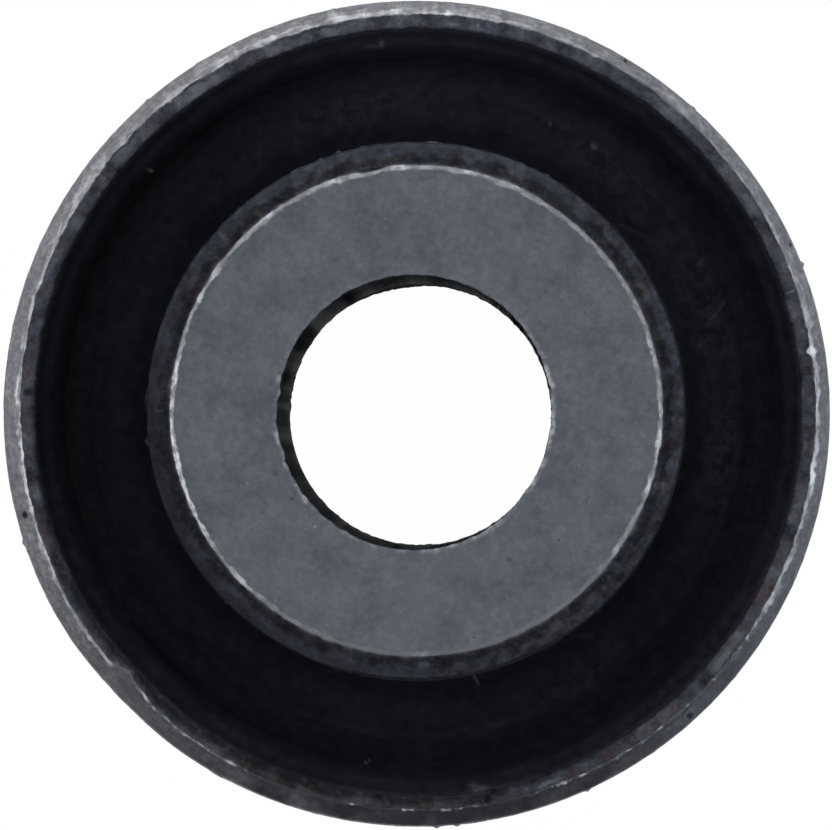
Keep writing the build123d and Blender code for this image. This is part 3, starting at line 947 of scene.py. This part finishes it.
rubberBody = {
    "segments": 1200,
    "ends": [(11, 0), (27, 120)],  # noise seed and turn of the marks, at the top and at the lower end
    "endRows": [42, 20],  # fine rows over the top end, fewer below
    "lipWidth": 0.95,
    "lipTopDepth": 0.4,
    "lipEdgeDepth": 1.1,
    "grooveWidth": 1.4,
    "grooveDepth": 2.8,
    "grooveWallLean": 0.4,
    "grooveFlankLean": 0.55,
    "grooveSoft": 0.3,
    "creepWidth": 0.35,  # the skin of rubber that climbs to the edge of the outer sleeve
    "creepDepth": 0.13,
    "ringEdgeDepth": 2.0,
    "ringCrownDepth": 1.3,
    "ringRootDepth": 2.1,
    # painted light and shade: how much paler the rubber is round the view, most where the sleeves shade
    # it, how much of it the groove and the lip have (both in degrees), and how it changes outward over
    # the section (in mm)
    "paintedShading": [
        (0, 0.96), (45, 1.12), (90, 1.2), (135, 0.86), (180, 0.74), (225, 0.9), (270, 1.35), (315, 1),
    ],
    "outerShadingByAngle": [
        (0, 1), (45, 1.08), (90, 1.38), (135, 1.08), (180, 0.92), (225, 1.06), (270, 1.12), (315, 1.1),
    ],
    "shadingAcross": [
        (0, 3), (0.2, 2.7), (0.4, 2), (0.7, 1.55), (1.2, 1.15), (1.8, 0.94), (2.2, 1), (2.6, 1.75),
        (2.9, 1.65), (3.2, 1), (3.45, 0.78), (3.75, 0.8), (3.95, 1.7), (4.1, 2.1), (4.3, 1.7),
        (4.6, 1.35), (4.8, 1.4), (4.95, 1.8), (5.05, 2.6),
    ],
    # crumbs that stand up: degrees, radius, along, across, height
    "crumbs": [
        (137.6, 15.73, 0.05, 0.05, 0.03), (279.1, 16.42, 0.5, 0.24, 0.14),
        (280.4, 16.5, 0.25, 0.15, 0.06), (56.1, 13.94, 0.16, 0.16, 0.07),
    ],
    # pale flakes and smears, in the same order with their strength
    "flakes": [
        (137.6, 15.73, 0.055, 0.055, 3), (95.4, 16.17, 0.1, 0.15, 0.4), (96.8, 16.08, 0.32, 0.08, 0.13),
        (279.8, 16.52, 0.26, 0.1, 0.36), (278.6, 16.36, 0.2, 0.13, 0.3), (278.9, 16.62, 0.1, 0.1, 0.25),
        (56.4, 13.97, 0.14, 0.13, 0.25), (65.3, 13.9, 0.07, 0.07, 0.2), (28, 14.04, 0.12, 0.2, 0.08),
        (13.6, 12.7, 0.15, 0.12, 0.08),
    ],
    # the same for thin ones: degrees and radius at both ends, half width, strength
    "scrapes": [
        (261.1, 15.49, 262.3, 15.3, 0.035, 0.42), (282.2, 11.61, 282.8, 12.05, 0.06, 0.5),
        (304.5, 11.75, 308.5, 12.27, 0.07, 0.08), (20, 14.3, 17, 13.2, 0.08, 0.06),
    ],
    # creases in the skin, with their depth
    "creases": [
        (43, 12.24, 36.8, 12.79, 0.1, 0.12), (41.1, 13.49, 36.5, 13.3, 0.1, 0.06),
        (303.8, 11.95, 307.8, 12.45, 0.1, 0.08), (48, 12.6, 44.5, 13.2, 0.12, 0.06),
        (10, 12.6, 4, 12.8, 0.14, 0.06), (352, 13.9, 347, 13.5, 0.15, 0.06),
        (283.5, 11.9, 286.5, 12.1, 0.1, 0.08), (70, 12.4, 66, 12.7, 0.1, 0.05),
    ],
    # dusty places, and paler places on the lip at 90 and 315 degrees that are painted light in its
    # shade: degrees, radius, along, across, strength
    "dustAndLightSpots": [
        (20, 13.4, 2.6, 1.3, 1), (352, 13.6, 2.2, 1.2, 1), (55, 13.8, 2.2, 1, 1),
        (100, 13.6, 3, 0.9, 1), (315, 16.1, 3, 0.5, 1.4), (300, 13.6, 2.6, 1.2, 0.6),
        (90, 16.1, 4, 0.5, 1.2),
    ],
    # dents: degrees, radius, along, across, depth
    "dents": [
        (56.1, 13.95, 0.3, 0.12, 0.08), (302.6, 14.6, 0.12, 0.5, 0.05), (38.8, 13, 0.5, 0.07, 0.06),
    ],
}


def rubberEnd(angles, rubber, inner, outer, end):
    # the section of one end, outward; the raised ring is an arc from root through crown to edge
    seed, turn = rubber["ends"][end]
    placed = angles - math.radians(turn)
    lipEdge = outer - rubber["lipWidth"] + 0.04 * around(angles, 15.8, 2.0, seed + 1, 3)
    ringEdge = lipEdge - rubber["grooveWidth"]
    shadingPlaces, shadingValues = zip(*rubber["shadingAcross"])
    fringe = 0.16 * smooth(around(angles, 11.7, 0.7, seed, 4), -0.1, 0.6)

    def topDepth(r):
        # the ring's arc, then the slope of the lip, with the groove pressed in between them
        side = 2 * (r - inner) / (ringEdge - inner) - 1
        foot = np.where(side < 0, rubber["ringRootDepth"], rubber["ringEdgeDepth"])
        ring = rubber["ringCrownDepth"] + (foot - rubber["ringCrownDepth"]) * side * side
        share = np.clip((r - lipEdge) / rubber["lipWidth"], 0, 1) ** 0.8
        lip = rubber["lipEdgeDepth"] + (rubber["lipTopDepth"] - rubber["lipEdgeDepth"]) * share
        top = ring + (lip - ring) * smooth(r, ringEdge - 0.1, lipEdge)
        flank = smooth(r, ringEdge - rubber["grooveSoft"], ringEdge + rubber["grooveFlankLean"])
        wall = 1 - smooth(r, lipEdge - rubber["grooveWallLean"], lipEdge + rubber["grooveSoft"])
        creep = smooth(r, outer - rubber["creepWidth"], outer)
        creep = (rubber["lipTopDepth"] - rubber["creepDepth"]) * creep
        return top + (rubber["grooveDepth"] - top) * flank * wall - creep

    plain = [(inner, rubber["ringRootDepth"] + 1.0)]
    plain.append((inner, rubber["ringRootDepth"] - 0.25 - fringe))
    plain.append((inner + 0.05, rubber["ringRootDepth"] - 0.1 - fringe))
    for share in [*np.linspace(0.03, 0.94, rubber["endRows"][end]), 0.955, 0.97, 0.985, 1]:
        r = inner + (outer - inner) * share
        plain.append((r, topDepth(r)))
    plain.append((outer, rubber["creepDepth"] + 1.2))
    section = []
    for r, depth in plain:
        r = r + np.zeros_like(angles)
        uneven = 0.02 * over(angles, r, depth, 1.2, seed + 2, 4)
        dent = spots(placed, r, rubber["dents"]) + lines(placed, r, rubber["creases"])
        lift = spots(placed, r, rubber["crumbs"])
        fleck = spots(placed, r, rubber["flakes"]) + lines(placed, r, rubber["scrapes"])
        dustAndLightSpots = spots(placed, r, rubber["dustAndLightSpots"])
        # painted light and shade over the rubber, paler where the sleeves shade it
        paintedShading = byAngle(placed, rubber["paintedShading"]) * np.interp(r - inner, shadingPlaces, shadingValues)
        paintedShading = paintedShading * (1 + (byAngle(placed, rubber["outerShadingByAngle"]) - 1) * smooth(r - inner, 2.2, 2.8))
        masks = {"paintedShading": paintedShading / rubberFinish["shadingMost"], "dustAndLight": 0.15 + dustAndLightSpots, "fleck": fleck}
        section.append((r, depth + uneven + dent - lift, masks))
    return section


def makeRubberBody(rubber, outerTube, innerTube):
    radius, low, high = nodeSize("outer_sleeve")
    innerRadius = nodeSize("inner_sleeve")[0]
    rows = Rows(rubber["segments"], rubberMasks)
    inner = innerRadius - innerTube["endTrim"] + alongOffset(rows.angles, innerTube["offCentre"])
    for end, facing, height in ((0, 1, high), (1, -1, low)):
        outer = boreLine(rows.angles, outerTube, radius, *outerTube["ends"][end]) + 0.01
        rows.addEnd(rubberEnd(rows.angles, rubber, inner, outer, end), facing, height)
    return rows.skin("mouldedRubber")


steel = makeSteel("phosphatedSteel", steelFinish)
rubberSkin = makeRubber("blackRubber", rubberFinish)
print("materials ready")

pieces = [
    (makeInnerSleeve(innerSleeve), "inner_sleeve", steel),
    (makeRubberBody(rubberBody, outerSleeve, innerSleeve), "rubber_body", rubberSkin),
    (makeOuterSleeve(outerSleeve), "outer_sleeve", steel),
]
for piece, node, finish in pieces:
    piece.data.materials.append(finish)
    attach(piece, "root")
    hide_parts(node)
    print("made", piece.name, len(piece.data.polygons), "faces")


studio = {
    "floorSize": 2.4,
    "floorWhite": 0.95,
    "floorBounce": 0.28,  # what the floor gives back to the bush
    "floorGlow": 0.993,  # how much of the floor's white is its own, the rest is lit and shaded
    "skyLight": 0.60,
    "skyColour": (0.93, 0.96, 1.0),
    # bearing in degrees from +X, height in degrees above the floor, distance, width, power
    "keyLamp": (306, 46, 0.9, 0.6, 2.0),
    "topLamp": (306, 86, 0.95, 0.5, 1.8),
    "fillLamp": (190, 15, 0.9, 0.6, 0.7),
    "fillColour": (0.35, 0.68, 1.0),
}


def directRays(tree):
    # 1 for what the camera sees, straight or in metal or glass, and 0 for light on its way
    rays = put(tree, "ShaderNodeLightPath").outputs
    mirrored = calc(tree, "MAXIMUM", rays["Is Glossy Ray"], rays["Is Transmission Ray"])
    return calc(tree, "MAXIMUM", rays["Is Camera Ray"], mirrored)


def makeFloor(settings):
    half = settings["floorSize"] / 2
    corners = [(-half, -half, 0), (half, -half, 0), (half, half, 0), (-half, half, 0)]
    mesh = bpy.data.meshes.new("studioFloor")
    mesh.from_pydata(corners, [], [(0, 1, 2, 3)])
    material, tree = newMaterial("whiteSweep")
    seen = directRays(tree)
    white = span(tree, seen, 0, 1, settings["floorBounce"], settings["floorWhite"])
    lit = put(tree, "ShaderNodeBsdfDiffuse", {"Color": white})
    glow = put(tree, "ShaderNodeEmission", {"Color": colour(1, 1, 1), "Strength": 1.0})
    amount = times(tree, seen, settings["floorGlow"])
    skin = put(tree, "ShaderNodeMixShader", {0: amount, 1: lit.outputs[0], 2: glow.outputs[0]})
    put(tree, "ShaderNodeOutputMaterial", {"Surface": skin.outputs[0]})
    mesh.materials.append(material)
    intoScene("studioFloor", mesh)


def makeLamp(name, setting, shines=True, shade=(1, 1, 1)):
    bearing, height, distance, size, power = setting
    lamp = bpy.data.lights.new(name, "AREA")
    lamp.shape = "DISK"
    lamp.size = size
    lamp.energy = power
    lamp.color = shade
    a, e = math.radians(bearing), math.radians(height)
    away = Vector((math.cos(a) * math.cos(e), math.sin(a) * math.cos(e), math.sin(e)))
    holder = intoScene(name, lamp)
    holder.location = (cadLow + cadHigh) / 2 + away * distance
    holder.rotation_mode = "QUATERNION"
    holder.rotation_quaternion = away.to_track_quat("Z", "Y")
    holder.visible_camera = False
    holder.visible_glossy = shines


def makeSky(settings):
    world = bpy.data.worlds.new("studioSky")
    bpy.context.scene.world = world
    world.use_nodes = True
    tree = world.node_tree
    tree.nodes.clear()
    blue = {"Color": colour(*settings["skyColour"]), "Strength": settings["skyLight"]}
    light = put(tree, "ShaderNodeBackground", blue).outputs[0]
    white = {"Color": colour(1, 1, 1), "Strength": 1.0}
    white = put(tree, "ShaderNodeBackground", white).outputs[0]
    skin = put(tree, "ShaderNodeMixShader", {0: directRays(tree), 1: light, 2: white})
    put(tree, "ShaderNodeOutputWorld", {"Surface": skin.outputs[0]})


def makeCamera(view):
    radius = nodeSize("outer_sleeve")[0]
    lensHeight = nodeSize("inner_sleeve")[2] + view["frontDistance"]
    outlineHeight = nodeSize("outer_sleeve")[2] - outerSleeve["leadHeight"]
    up = Vector((math.cos(upAngle), math.sin(upAngle), 0))
    right = Vector((math.cos(rightAngle), math.sin(rightAngle), 0))
    pixelsPerMm = view["outlineRadius"] / radius
    place = right * view["sideStep"] - up * view["downStep"] + Vector((0, 0, lensHeight))
    aside = (view["imageWidth"] / 2 - view["outlineAcross"]) / pixelsPerMm
    above = (view["outlineDown"] - view["imageHeight"] / 2) / pixelsPerMm
    aim = right * aside + up * above + Vector((0, 0, outlineHeight))
    back = (place - aim).normalized()
    side = up.cross(back).normalized()
    camera = bpy.data.cameras.new("mainCamera")
    camera.sensor_width = view["sensorWidth"]
    camera.lens = pixelsPerMm * (lensHeight - outlineHeight) * view["sensorWidth"] / view["imageWidth"]
    camera.clip_start = view["clipNear"]
    camera.clip_end = view["clipFar"]
    holder = intoScene("mainCamera", camera)
    holder.location = place * mm
    holder.rotation_mode = "QUATERNION"
    holder.rotation_quaternion = Matrix((side, back.cross(side), back)).transposed().to_quaternion()
    bpy.context.scene.camera = holder


makeFloor(studio)
makeLamp("keyLamp", studio["keyLamp"])
makeLamp("topLamp", studio["topLamp"], shines=False)
makeLamp("fillLamp", studio["fillLamp"], shade=studio["fillColour"])
makeSky(studio)
makeCamera(mainView)
bpy.context.scene.view_settings.view_transform = "Standard"
print("studio and camera ready")
